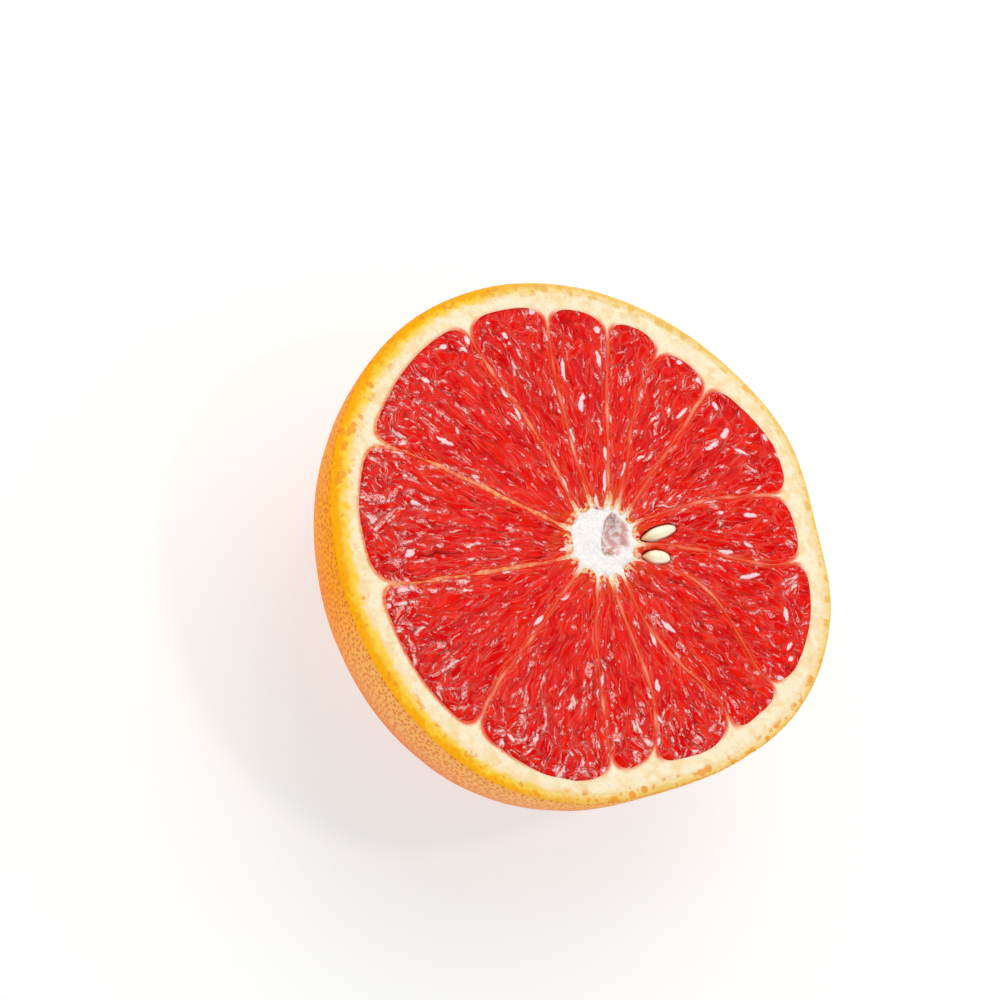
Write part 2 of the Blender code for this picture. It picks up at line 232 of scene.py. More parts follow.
def outline_radius(angle):
    count = len(OUTLINE_RADII)
    position = (np.asarray(angle) / math.tau + 0.5) * count
    index = np.floor(position).astype(int)
    step = position - index
    before, start, end, after = (OUTLINE_RADII[(index + shift) % count] for shift in (-1, 0, 1, 2))
    cubic = 3.0 * (start - end) + after - before
    square = 2.0 * before - 5.0 * start + 4.0 * end - after
    return start + 0.5 * step * (end - before + step * (square + step * cubic))


def pulp_radius(angle):
    degrees, thickness = zip(*PEEL_THICKNESS)
    peel = np.interp(np.degrees(angle), degrees, thickness, period=360.0) * MM
    return outline_radius(angle) - peel


def from_core(xs, ys):
    """Distance and angle of plan points about the middle of the core."""
    return np.hypot(xs - CORE_X, ys - CORE_Y), np.arctan2(ys - CORE_Y, xs - CORE_X)


def rim_distance(xs, ys):
    """How far plan points are inside the outer edge of the pulp."""
    return pulp_radius(np.arctan2(ys, xs)) - np.hypot(xs, ys)


def outline_centre():
    angles = full_turn(ROUND_SIDES)
    radii = outline_radius(angles)
    xs = radii * np.cos(angles)
    ys = radii * np.sin(angles)
    return np.array(((xs.max() + xs.min()) / 2.0, (ys.max() + ys.min()) / 2.0, 0.0))


@functools.lru_cache(maxsize=None)
def wall_table(wall):
    """Angle of a membrane about the core and its relative width, for a row of distances."""
    distances = np.arange(0.0, 90.0, 0.1) * MM
    cubic = np.polyfit(WALL_DISTANCES, WALL_ANGLES[wall], 3)
    smooth = np.radians(np.polyval(cubic, distances / MM))
    still = np.zeros(len(distances))
    wobble = WALL_WOBBLE * layered(71 + wall, 2, distances / (4.6 * MM), still)
    swell = 1.0 + 0.8 * noise(91 + wall, distances / (3.4 * MM), still)
    return distances, smooth + wobble / np.maximum(distances, TIP_DISTANCE), swell


def wall_angle(index, distance):
    turns, wall = divmod(index, WALL_COUNT)
    distances, angles, _ = wall_table(wall)
    return np.interp(distance, distances, angles) + math.tau * turns


def wall_swell(index, distance):
    distances, _, swell = wall_table(index % WALL_COUNT)
    return np.interp(distance, distances, swell)


def wall_gap(wall, distance, angle):
    """Distance to the middle line of a membrane, and far more on the other side of the core."""
    away = angle - wall_angle(wall, distance)
    return np.abs(distance * np.sin(away)) + np.where(np.cos(away) < 0.0, 1.0, 0.0)


def inside_distance(index, xs, ys, half_wall):
    distance, angle = from_core(xs, ys)
    right = distance * np.sin(angle - wall_angle(index, distance))
    left = distance * np.sin(wall_angle(index + 1, distance) - angle)
    right = right - half_wall * wall_swell(index, distance)
    left = left - half_wall * wall_swell(index + 1, distance)
    sides = smooth_min(right, left, SIDE_BLEND)
    inside = smooth_min(sides, rim_distance(xs, ys), RIM_BLEND)
    return smooth_min(inside, distance - TIP_DISTANCE, TIP_BLEND)


def core_point(distance, angle):
    return CORE_X + distance * np.cos(angle), CORE_Y + distance * np.sin(angle)


def wall_end(wall):
    distances = np.linspace(RAY_ORIGIN, MEAN_RADIUS, RAY_STEPS)
    xs, ys = core_point(distances, wall_angle(wall, distances))
    first = int(np.argmax(np.hypot(xs, ys) > pulp_radius(np.arctan2(ys, xs))))
    return xs[first], ys[first]


def segment_outline(index, half_wall):
    middle_angle = (wall_angle(index, RAY_ORIGIN) + wall_angle(index + 1, RAY_ORIGIN)) / 2.0
    middle_x, middle_y = core_point(RAY_ORIGIN, middle_angle)
    headings = full_turn(RAY_COUNT)[:, None]
    reach = np.linspace(0.0, RAY_LENGTH, RAY_STEPS + 1)[None, :]
    depth = inside_distance(
        index, middle_x + reach * np.cos(headings), middle_y + reach * np.sin(headings), half_wall
    )
    outside = np.argmax(depth < 0.0, axis=1)
    rows = np.arange(len(headings))
    last_in = depth[rows, outside - 1]
    first_out = depth[rows, outside]
    crossing = reach[0, outside - 1] + reach[0, 1] * last_in / (last_in - first_out)
    points = np.column_stack((
        middle_x + crossing * np.cos(headings[:, 0]),
        middle_y + crossing * np.sin(headings[:, 0]),
    ))
    targets = (
        core_point(TIP_DISTANCE, wall_angle(index, TIP_DISTANCE)),
        wall_end(index),
        wall_end(index + 1),
        core_point(TIP_DISTANCE, wall_angle(index + 1, TIP_DISTANCE)),
    )
    corners = [int(np.argmin(np.hypot(*(points - target).T))) for target in targets]
    return points, corners


def side_points(points, start, stop, count):
    span = (stop - start) % len(points)
    path = points[(start + np.arange(span + 1)) % len(points)]
    lengths = np.concatenate(([0.0], np.cumsum(np.hypot(*np.diff(path, axis=0).T))))
    even = np.linspace(0.0, 1.0, count + 1)
    places = lengths[-1] * (even - END_CROWDING * np.sin(math.tau * even))
    return np.column_stack([np.interp(places, lengths, path[:, axis]) for axis in (0, 1)])


def segment_grid(index, step, half_wall):
    """Grid of plan points over a segment: rows from its tip to its rim, cells a step wide."""
    points, (tip_right, rim_right, rim_left, tip_left) = segment_outline(index, half_wall)
    spread = wall_angle(index + 1, WIDTH_DISTANCE) - wall_angle(index, WIDTH_DISTANCE)
    length = float(pulp_radius(0.0)) - TIP_DISTANCE
    rows = COARSE * max(2, round(length / step / COARSE))
    columns = COARSE * max(1, round(WIDTH_DISTANCE * float(spread) / step / COARSE))
    right = side_points(points, tip_right, rim_right, rows)
    rim = side_points(points, rim_right, rim_left, columns)
    left = side_points(points, rim_left, tip_left, rows)[::-1]
    tip = side_points(points, tip_left, tip_right, columns)[::-1]
    across = np.linspace(0.0, 1.0, columns + 1)[None, :, None]
    along = np.linspace(0.0, 1.0, rows + 1)[:, None, None]
    between_sides = (1.0 - across) * right[:, None] + across * left[:, None]
    between_ends = (1.0 - along) * tip[None, :] + along * rim[None, :]
    near = (1.0 - across) * tip[0] + across * tip[-1]
    far = (1.0 - across) * rim[0] + across * rim[-1]
    return between_sides + between_ends - (1.0 - along) * near - along * far


def pulp_depth(xs, ys):
    reach = np.hypot(xs, ys) / (pulp_radius(np.arctan2(ys, xs)) + BOWL_MARGIN)
    return np.maximum(LEAST_DEPTH, PULP_DEPTH * np.sqrt(np.clip(1.0 - reach * reach, 0.0, None)))


def seed_place(seed, xs, ys):
    """Plan points in a seed's own frame, as shares of its half length and half width."""
    x, y, length, width, _, heading = seed
    along, across = turned(xs - x, ys - y, math.cos(heading), math.sin(heading))
    return along / (length / 2.0), across / (width / 2.0)


# Building meshes from patches

VECTOR_ATTRIBUTES = ("grain", "skin")


class Patches:
    """Points and faces gathered from several patches into one closed mesh."""

    def __init__(self):
        self.points = []
        self.quads = []
        self.triangles = []
        self.count = 0

    def add(self, points):
        points = np.asarray(points, float).reshape(-1, 3)
        ids = np.arange(self.count, self.count + len(points))
        self.points.append(points)
        self.count += len(points)
        return ids

    def grid(self, ids, flip=False):
        """Faces over a rectangular grid of point numbers."""
        quads = np.stack((ids[:-1, :-1], ids[:-1, 1:], ids[1:, 1:], ids[1:, :-1]), -1)
        quads = quads.reshape(-1, 4)
        self.quads.append(quads[:, ::-1] if flip else quads)

    def band(self, first, second, flip=False):
        """Faces between two closed rings. The first may have a multiple of the second's points."""
        share = len(first) // len(second)
        after = np.roll(first, -1)
        if share == 1:
            quads = np.stack((first, after, np.roll(second, -1), second), -1)
            self.quads.append(quads[:, ::-1] if flip else quads)
            return
        place = np.arange(len(first))
        near = place // share
        late = place % share >= (share + 1) // 2
        owner = np.where(late, (near + 1) % len(second), near)
        turn = first[share * np.arange(len(second)) + (share + 1) // 2]
        faces = np.concatenate((
            np.stack((first, after, second[owner]), -1),
            np.stack((turn, np.roll(second, -1), second), -1),
        ))
        self.triangles.append(faces[:, ::-1] if flip else faces)

    def fan(self, ring, middle, flip=False):
        faces = np.stack((ring, np.roll(ring, -1), np.full(len(ring), middle)), -1)
        self.triangles.append(faces[:, ::-1] if flip else faces)

    def build(self, name, material, attributes=None):
        """Make the object, with its faces pointing out and its attributes on its points."""
        points = np.concatenate(self.points) - outline_centre()
        quads = np.concatenate(self.quads)
        triangles = np.concatenate([np.zeros((0, 3), int), *self.triangles])
        corners = np.concatenate((triangles, quads[:, (0, 1, 2)], quads[:, (0, 2, 3)]))
        first, second, third = (points[corners[:, corner]] for corner in range(3))
        if np.sum(first * np.cross(second, third)) < 0.0:
            quads = quads[:, ::-1]
            triangles = triangles[:, ::-1]
        loops = np.concatenate((quads.ravel(), triangles.ravel())).astype(np.int32)
        sizes = np.concatenate((np.full(len(quads), 4), np.full(len(triangles), 3)))
        starts = np.concatenate(([0], np.cumsum(sizes)[:-1])).astype(np.int32)
        mesh = bpy.data.meshes.new(name)
        mesh.vertices.add(len(points))
        mesh.vertices.foreach_set("co", points.astype(np.float32).ravel())
        mesh.loops.add(len(loops))
        mesh.loops.foreach_set("vertex_index", loops)
        mesh.polygons.add(len(sizes))
        mesh.polygons.foreach_set("loop_start", starts)
        mesh.update(calc_edges=True)
        mesh.validate()
        mesh.shade_smooth()
        mesh.set_sharp_from_angle(angle=SHARP_ANGLE)
        for label, values in (attributes or {}).items():
            vector = label in VECTOR_ATTRIBUTES
            padded = np.zeros((len(points), 3 if vector else 4), np.float32)
            padded[:len(values), :values.shape[1]] = values
            kind = "FLOAT_VECTOR" if vector else "FLOAT_COLOR"
            layer = mesh.attributes.new(label, kind, "POINT")
            layer.data.foreach_set("vector" if vector else "color", padded.ravel())
        mesh.materials.append(material)
        obj = bpy.data.objects.new(name, mesh)
        bpy.context.scene.collection.objects.link(obj)
        return obj


def ring_of(ids):
    """Numbers round the edge of a grid, as one closed ring."""
    return np.concatenate((ids[0, :-1], ids[:-1, -1], ids[-1, :0:-1], ids[:0:-1, 0]))


def close_below(patches, plan, ring, extra_depth, flip=False):
    """Walls down from a ring to a coarse floor that follows the bowl of the pulp."""
    coarse = plan[::COARSE, ::COARSE]
    xs, ys = coarse[..., 0], coarse[..., 1]
    heights = CUT_HEIGHT - pulp_depth(xs, ys) - extra_depth
    floor = patches.add(np.stack((xs, ys, heights), -1)).reshape(xs.shape)
    patches.band(ring, ring_of(floor), flip)
    patches.grid(floor, not flip)


# Relief of the cut pulp

# Limits of a sac's own number from 0 to 1: below the first the sac is cut open flat and holds a
# smooth pool of juice, from the second on it is only half as plump, and from the last on pale
POOL_LIMIT = 0.45
PLUMP_LIMIT = 0.84
PALE_LIMIT = 0.945
# Places tried for a segment's sacs, and how near two of them may be in the sum of their sizes
SAC_TRIES = 2600
SAC_SPACING = 0.80
SAC_SEED = 400


def sac_layout(plan, draw):
    """Juice sacs of a segment: middle, heading, half length, half width and its own number."""
    rows, columns = plan.shape[:2]
    placed = np.zeros((0, 5))
    for _ in range(SAC_TRIES):
        x, y = plan[draw.integers(rows), draw.integers(columns)]
        distance = math.hypot(x - CORE_X, y - CORE_Y)
        from_rim = float(pulp_radius(math.atan2(y, x))) - math.hypot(x, y)
        outward = distance / (distance + max(0.0, from_rim))
        at_rim = float(ease(0.72, 0.98, outward))
        length = draw.uniform(2.2, 4.6) * (1.0 - at_rim) + draw.uniform(1.0, 1.7) * at_rim
        width = draw.uniform(0.55, 0.95) + 0.25 * at_rim
        askew = math.radians(draw.normal(0.0, 9.0 + 38.0 * at_rim))
        heading = math.atan2(y - CORE_Y, x - CORE_X) + askew
        if len(placed):
            away = (placed[:, :2] - (x, y)).T
            along, across = turned(*away, math.cos(heading), math.sin(heading))
            near = np.hypot(
                along / (length * MM + placed[:, 3]), across / (width * MM + placed[:, 4])
            )
            if near.min() < SAC_SPACING:
                continue
        placed = np.vstack((placed, (x, y, heading, length * MM, width * MM)))
    return placed


def sac_field(xs, ys, sacs):
    """Nearest two sacs at each point: numbers, closeness, and place in the nearest one."""
    warp_x, warp_y = (
        0.34 * MM * plan_noise(seed, 2.4, xs, ys) + 0.16 * MM * plan_noise(seed + 2, 0.8, xs, ys)
        for seed in (5, 6)
    )
    x, y, heading, length, width = sacs.T
    away_x = (xs + warp_x)[:, None] - x
    away_y = (ys + warp_y)[:, None] - y
    along, across = turned(away_x, away_y, np.cos(heading), np.sin(heading))
    near = np.sqrt(np.abs(along / length) ** 1.7 + (across / width) ** 2)
    order = np.argpartition(near, 1, axis=1)[:, :2]
    rows = np.arange(len(xs))
    swap = near[rows, order[:, 0]] > near[rows, order[:, 1]]
    order[swap] = order[swap][:, ::-1]
    first, second = order.T
    return {
        "first": first,
        "second": second,
        "near": near[rows, first],
        "border": (near[rows, second] - near[rows, first]) * width[first] * 0.55,
        "along": along[rows, first],
        "across": across[rows, first],
        "along_second": along[rows, second],
        "across_second": across[rows, second],
    }


def sac_surface(kinds, levels, tilts, which, along, across, near):
    """Height of one sac's own surface: a cut pool, a plump dome or a tilted flap."""
    dome = 0.26 * MM * np.sqrt(np.clip(1.0 - (near / 1.25) ** 2, 0.0, None)) - 0.08 * MM
    pool = -0.06 * MM + 0.06 * MM * np.clip(near, 0.0, 1.2) ** 2
    kind = kinds[which]
    shape = np.where(kind < POOL_LIMIT, pool, np.where(kind < PLUMP_LIMIT, dome, 0.5 * dome))
    return shape + levels[which] + tilts[which, 0] * along + tilts[which, 1] * across


def pulp_relief(index, plan):
    """Heights and colour shares over the cut pulp of one segment."""
    draw = np.random.default_rng(SAC_SEED + index)
    sacs = sac_layout(plan, draw)
    count = len(sacs)
    kinds = draw.random(count)
    tones = draw.random(count)
    levels = draw.normal(0.0, 0.08, count) * MM
    tilts = np.column_stack((draw.normal(0.0, 0.04, count), draw.normal(0.0, 0.14, count)))
    xs, ys = plan.reshape(-1, 2).T
    field = sac_field(xs, ys, sacs)
    first, second = field["first"], field["second"]
    own = sac_surface(kinds, levels, tilts, first, field["along"], field["across"], field["near"])
    other = sac_surface(
        kinds, levels, tilts, second, field["along_second"], field["across_second"],
        field["near"] + 0.1,
    )
    share = 0.5 + 0.5 * ease(0.0, 0.22 * MM, field["border"])
    height = share * own + (1.0 - share) * other
    pair = hashed(9, np.minimum(first, second), np.maximum(first, second))
    skin = np.exp(-(field["border"] / (0.13 * MM)) ** 2)
    height = height + skin * np.where(pair < 0.5, 0.06, -0.08) * MM
    height = height - 0.22 * MM * ease(1.0, 1.7, field["near"])
    grain_along = field["along"] / MM
    grain_across = field["across"] / MM
    rough = noise(15, grain_along * 0.42 + 5.0 * first, grain_across * 0.9 + 3.0)
    rough = ease(-0.10, 0.22, rough) * np.where(kinds[first] < POOL_LIMIT, 0.35, 1.0)
    rough = rough * (0.15 + 0.85 * ease(-0.25, 0.25, plan_noise(16, 5.5, xs, ys)))
    streak = noise(11, grain_along * 0.9 + 13.0 * first, grain_across * 3.0)
    fine = noise(12, grain_along * 1.7 + 7.0 * first, grain_across * 3.6)
    height = height + ((0.008 + 0.025 * rough) * streak + (0.002 + 0.070 * rough) * fine) * MM
    height = height + 0.10 * MM * plan_noise(14, 6.0, xs, ys)
    inside = inside_distance(index, xs, ys, HALF_MEMBRANE - LAP)
    rim = rim_distance(xs, ys)
    height = height * (0.25 + 0.75 * ease(0.0, 0.9 * MM, inside))
    sunk = 0.10 + 0.22 * (1.0 - ease(0.0, 1.2 * MM, rim))
    height = height - sunk * MM * (1.0 - ease(0.0, 0.5 * MM, inside))
    distance, _ = from_core(xs, ys)
    for seed in SEEDS.values():
        along, across = seed_place(seed, xs, ys)
        reach = np.hypot(along, across)
        height = height - SEED_POCKET * (1.0 - ease(0.86, 1.18, reach))
    warm = draw.uniform(0.35, 1.0)
    wander = 0.35 * MM * plan_noise(17, 1.2, xs, ys, 2)
    side = wall_distance(xs, ys)
    fringe = (distance - TIP_DISTANCE) / (1.6 * MM) + 1.1 * plan_noise(18, 0.5, xs, ys)
    colour = {
        "sac": np.column_stack((
            skin * np.where(pair < 0.5, 1.0, 0.2), rough, tones[first],
            # The last share is painted shade: the low places of the relief darker
            ease(-0.10 * MM, -0.55 * MM, height),
        )),
        "zone": np.column_stack((
            warm * (1.0 - ease(7.5 * MM, 14.0 * MM, distance)),
            np.clip(side / (4.0 * MM), 0.0, 1.0),
            np.where((kinds[first] > PALE_LIMIT) & (field["near"] < 0.56), 1.0, 0.0),
            np.maximum(arm_share(xs, ys, wander), 0.75 * (1.0 - ease(0.3, 0.9, fringe))),
        )),
        "outer": np.column_stack((
            1.0 - ease(4.0 * MM, 17.0 * MM, rim),
            0.5 + 0.5 * np.cos(np.arctan2(ys, xs) - FLECKED_SIDE),
        )),
        "grain": np.column_stack((grain_along, grain_across, 3.7 * first)),
    }
    return height, colour


def arm_share(xs, ys, wander):
    """How far a plan point is in the pale foot of a membrane, where it leaves the core."""
    distance, angle = from_core(xs, ys)
    share = np.zeros(np.shape(xs))
    for wall, width in enumerate(ARM_WIDTHS):
        gap = wall_gap(wall, distance, angle) + 0.5 * wander
        narrowing = np.clip(1.0 - (distance - TIP_DISTANCE) / ARM_REACH, 0.0, 1.0)
        share = np.maximum(share, 1.0 - ease(0.6, 1.0, gap / (width * narrowing + 1e-6)))
    return share


def make_pulp(index, material):
    number = f"{index + 1:02d}"
    plan = segment_grid(index, PULP_STEP, HALF_MEMBRANE - LAP)
    height, colour = pulp_relief(index, plan)
    patches = Patches()
    top = np.column_stack((plan.reshape(-1, 2), np.minimum(CUT_HEIGHT + height, HIGHEST)))
    ids = patches.add(top).reshape(plan.shape[:2])
    patches.grid(ids)
    close_below(patches, plan, ring_of(ids), 0.0, flip=True)
    obj = patches.build(f"pulp_{number}", material, colour)
    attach(obj, "root")
    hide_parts(f"segment_{number}")


# Pith, core and membranes

FILL_SEED = 77


def pith_points():
    """Plan points of the pith's cut face: its edge, the membranes' middles and a fine fill."""
    angles = full_turn(RIND_SIDES)
    radii = uneven(MEAN_RADIUS - RIND_THICKNESS + 0.12 * MM, angles)
    edge = np.column_stack((radii * np.cos(angles), radii * np.sin(angles)))
    ridges = []
    for wall in range(WALL_COUNT):
        distances = np.arange(MEMBRANE_START, MEAN_RADIUS, RIDGE_STEP)
        xs, ys = core_point(distances, wall_angle(wall, distances))
        ridges.append(np.column_stack((xs, ys))[rim_distance(xs, ys) > 0.2 * MM])
    ridges = np.concatenate(ridges)
    draw = np.random.default_rng(FILL_SEED)
    reach = 1.08 * MEAN_RADIUS
    lines = np.arange(-reach, reach, PITH_STEP)
    xs, ys = (axis.ravel() for axis in np.meshgrid(lines, lines))
    xs = xs + draw.uniform(-0.3, 0.3, xs.shape) * PITH_STEP
    ys = ys + draw.uniform(-0.3, 0.3, ys.shape) * PITH_STEP
    kept = np.hypot(xs, ys) < uneven(MEAN_RADIUS - RIND_THICKNESS, np.arctan2(ys, xs)) - 0.15 * MM
    xs, ys = xs[kept], ys[kept]
    for index in range(WALL_COUNT):
        kept = inside_distance(index, xs, ys, HALF_MEMBRANE) < -0.16 * MM
        xs, ys = xs[kept], ys[kept]
    fill = np.column_stack((xs, ys))
    distance, _ = from_core(*fill.T)
    narrow = (
        (wall_distance(*fill.T) < 0.24 * MM) & (distance > MEMBRANE_START)
        & (pulp_inside(*fill.T) > -0.5 * MM)
    )
    fill = fill[~narrow]
    return edge, ridges, fill


def pulp_inside(xs, ys):
    """Depth inside the nearest pocket, negative in the pith."""
    depths = [inside_distance(index, xs, ys, HALF_MEMBRANE) for index in range(WALL_COUNT)]
    return np.max(depths, axis=0)


def wall_distance(xs, ys):
    """Distance from the middle line of the nearest membrane."""
    distance, angle = from_core(xs, ys)
    return np.min([wall_gap(wall, distance, angle) for wall in range(WALL_COUNT)], axis=0)


def within(points, loop):
    """Whether each plan point is inside a closed loop."""
    low = loop.min(axis=0)
    high = loop.max(axis=0)
    result = np.zeros(len(points), bool)
    near = np.flatnonzero(np.all((points >= low) & (points <= high), axis=1))
    x, y = points[near].T
    crossings = np.zeros(len(near), int)
    for start, end in zip(loop, np.roll(loop, -1, axis=0)):
        spans = (start[1] > y) != (end[1] > y)
        if spans.any():
            slope = (end[0] - start[0]) / (end[1] - start[1])
            crossings += spans & (x < start[0] + slope * (y - start[1]))
    result[near] = crossings % 2 == 1
    return result


def wall_strengths():
    """Angles of the membranes about the core in rising order, and how plainly each shows."""
    angles = np.radians([wall[1] for wall in WALL_ANGLES]) % math.tau
    order = np.argsort(angles)
    return angles[order], np.array(MEMBRANE_STRENGTH)[order]


def golden_width(angle):
    """How far in from the outside the cut peel is golden: widest on one side of the fruit."""
    facing = 0.5 + 0.5 * np.cos(angle - GOLDEN_SIDE)
    return LEAST_GOLDEN + (MOST_GOLDEN - LEAST_GOLDEN) * facing ** 1.5


def rind_side(angle):
    """How far the rind at an angle is on its reddish side, its golden side and the side of its
    painted sheen.
    """
    red = ease(0.1, 0.95, np.cos(angle - REDDISH_SIDE))
    gold = (0.5 + 0.5 * np.cos(angle - GOLDEN_SIDE)) ** 2
    pale = ease(0.72, 0.97, np.cos(angle - SHEEN_SIDE))
    return np.column_stack((red, gold, pale))


def pith_relief(xs, ys):
    """Heights and colour shares over the pith's cut face."""
    distance, angle = from_core(xs, ys)
    from_outside = outline_radius(np.arctan2(ys, xs)) - np.hypot(xs, ys)
    clear = -pulp_inside(xs, ys)
    core = 1.0 - ease(6.2 * MM, 9.5 * MM, distance)
    membrane = 1.0 - ease(0.25 * MM, 0.7 * MM, clear)
    membrane = membrane * ease(7.5 * MM, 11.0 * MM, distance)
    membrane = membrane * ease(5.0 * MM, 7.5 * MM, from_outside)
    sponge = plan_noise(21, 2.2, xs, ys, 3)
    pores = np.clip(plan_noise(24, 0.7, xs, ys, 2) - 0.35, 0.0, None)
    height = (0.10 * sponge - 0.22 * pores) * MM
    fluff = plan_noise(27, 1.9, xs, ys, 4)
    tufts = 1.0 - np.abs(plan_noise(28, 1.2, xs, ys, 3))
    height = height + core * (0.22 * fluff + 0.30 * tufts - 0.15) * MM
    ridge = 1.0 - ease(0.0, 0.24 * MM, wall_distance(xs, ys))
    on_membrane = (1.0 - membrane) * height + membrane * 0.10 * MM * ridge
    height = np.where(membrane > 0.0, on_membrane, height)
    height = height - 0.12 * MM * (1.0 - ease(0.0, 0.5 * MM, clear)) * (1.0 - membrane)
    along, across = seed_place(HOLLOW, xs + 0.5 * MM * fluff, ys - 0.4 * MM * fluff)
    across = np.where(across > 0.0, 0.34 * across, across)
    reach = np.hypot(along, across)
    height = height - HOLLOW_DEPTH * (1.0 - ease(0.30, 1.10, reach)) ** 1.5
    torn = 1.0 - ease(0.90, 1.15, reach)
    # Painted shade: a dark ring down one side of the hollow's rim
    hollow_rim_shade = (1.0 - ease(0.0, 0.22, np.abs(reach - 0.85))) * (across < 0.35)
    for seed in SEEDS.values():
        along, across = seed_place(seed, xs, ys)
        height = height - SEED_POCKET * (1.0 - ease(0.86, 1.18, np.hypot(along, across)))
    height = height * ease(RIND_THICKNESS, RIND_THICKNESS + 0.8 * MM, from_outside)
    strength = np.interp(angle, *wall_strengths(), period=math.tau)
    golden = golden_width(np.arctan2(ys, xs))
    colour = {
        "place": np.column_stack((core, membrane, torn, 1.0 - ease(0.0, 1.1 * MM, clear))),
        "depth": np.column_stack((from_outside / golden, strength, hollow_rim_shade)),
        "side": rind_side(np.arctan2(ys, xs)),
    }
    return height, colour


def make_pith(material):
    plans = [segment_grid(index, POCKET_STEP, HALF_MEMBRANE) for index in range(WALL_COUNT)]
    rings = [ring_of(np.arange(plan[..., 0].size).reshape(plan.shape[:2])) for plan in plans]
    loops = [plan.reshape(-1, 2)[ring] for plan, ring in zip(plans, rings)]
    edge, ridges, fill = pith_points()
    parts = [edge, *loops, ridges, fill]
    starts = np.concatenate(([0], np.cumsum([len(part) for part in parts])))
    everything = np.concatenate(parts) / MM
    edges = []
    for part in range(1 + WALL_COUNT):
        numbers = np.arange(starts[part], starts[part + 1])
        edges += np.stack((numbers, np.roll(numbers, -1)), -1).tolist()
    found = delaunay_2d_cdt([Vector(point) for point in everything], edges, [], 0, 1e-5, True)
    flat = np.array([tuple(vertex) for vertex in found[0]]) * MM
    triangles = np.array(found[2])
    middles = flat[triangles].mean(axis=1)
    kept = within(middles, edge)
    for loop in loops:
        kept &= ~within(middles, loop)
    triangles = triangles[kept]
    new_number = np.full(len(everything), -1)
    for number, olds in enumerate(found[3]):
        new_number[list(olds)] = number
    height, colour = pith_relief(flat[:, 0], flat[:, 1])
    outer = new_number[starts[0]:starts[1]]
    height[outer] = -0.14 * MM
    patches = Patches()
    patches.add(np.column_stack((flat, np.minimum(CUT_HEIGHT + height, HIGHEST))))
    patches.triangles.append(triangles)
    for part, plan in enumerate(plans):
        ring = new_number[starts[1 + part]:starts[2 + part]]
        close_below(patches, plan, ring, 0.5 * MM)
    close_dome(patches, outer, RIND_THICKNESS + 0.05 * MM)
    obj = patches.build("pith_and_core", material, colour)
    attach(obj, "root")
    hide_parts("pith")


# Rind

def uneven(radius, angles):
    """Plan radius of a turned shape once it has the fruit's uneven outline."""
    reach = radius / MEAN_RADIUS
    return radius * (1.0 + (outline_radius(angles) / MEAN_RADIUS - 1.0) * reach * reach)


def level_ring(radii, angles, height):
    """Ring of points at one height."""
    heights = np.full(len(angles), height)
    return np.column_stack((radii * np.cos(angles), radii * np.sin(angles), heights))


def dome_ring(sides, inset, share):
    """Ring of points on the dome, from its rim at share 0 to its flat spot at share 1."""
    depth = FRUIT_DEPTH - inset
    angle = math.asin(min(1.0, CUT_HEIGHT / depth)) * share
    angles = full_turn(sides)
    radii = uneven((MEAN_RADIUS - inset) * math.cos(angle), angles)
    return level_ring(radii, angles, CUT_HEIGHT - depth * math.sin(angle))


def close_dome(patches, ring, inset):
    """Coarse hidden bowl, an inset inside the fruit's surface, below the ring of a cut face."""
    for share in np.linspace(0.0, 1.0, HIDDEN_ROWS + 1)[1:]:
        circle = dome_ring(RIND_SIDES // COARSE, inset, share)
        ids = patches.add(circle)
        patches.band(ring, ids, flip=True)
        ring = ids
    middle = patches.add([[0.0, 0.0, float(circle[0, 2])]])[0]
    patches.fan(ring, middle, flip=True)


def gland_dimples(points):
    """Depth share of the small dimples over the oil glands of the skin."""
    cells = np.floor(points / DIMPLE_SIZE).astype(np.int64)
    nearest = np.full(len(points), 9.0)
    for code in range(27):
        step = np.array((code % 3, code // 3 % 3, code // 9)) - 1
        cell = cells + step
        centre = np.column_stack([
            cell[:, axis] + hashed(41 + axis, *cell.T) for axis in range(3)
        ])
        nearest = np.minimum(nearest, np.linalg.norm(points / DIMPLE_SIZE - centre, axis=1))
    return np.exp(-(nearest / 0.30) ** 2)


def rind_profile():
    """Inset, drop and share of the cut face, over the skin's cut edge and its round corner."""
    rows = []
    for share in np.linspace(0.0, 1.0, 6):
        rows.append(((1.0 - share) * RIND_THICKNESS + share * RIM_CHAMFER, 0.0, 1.0))
    for share in np.linspace(0.0, 1.0, 7)[1:]:
        turn = share * math.pi / 2.0
        inset = RIM_CHAMFER * (1.0 - math.sin(turn))
        rows.append((inset, RIM_CHAMFER * (1.0 - math.cos(turn)), 1.0 - share))
    return rows


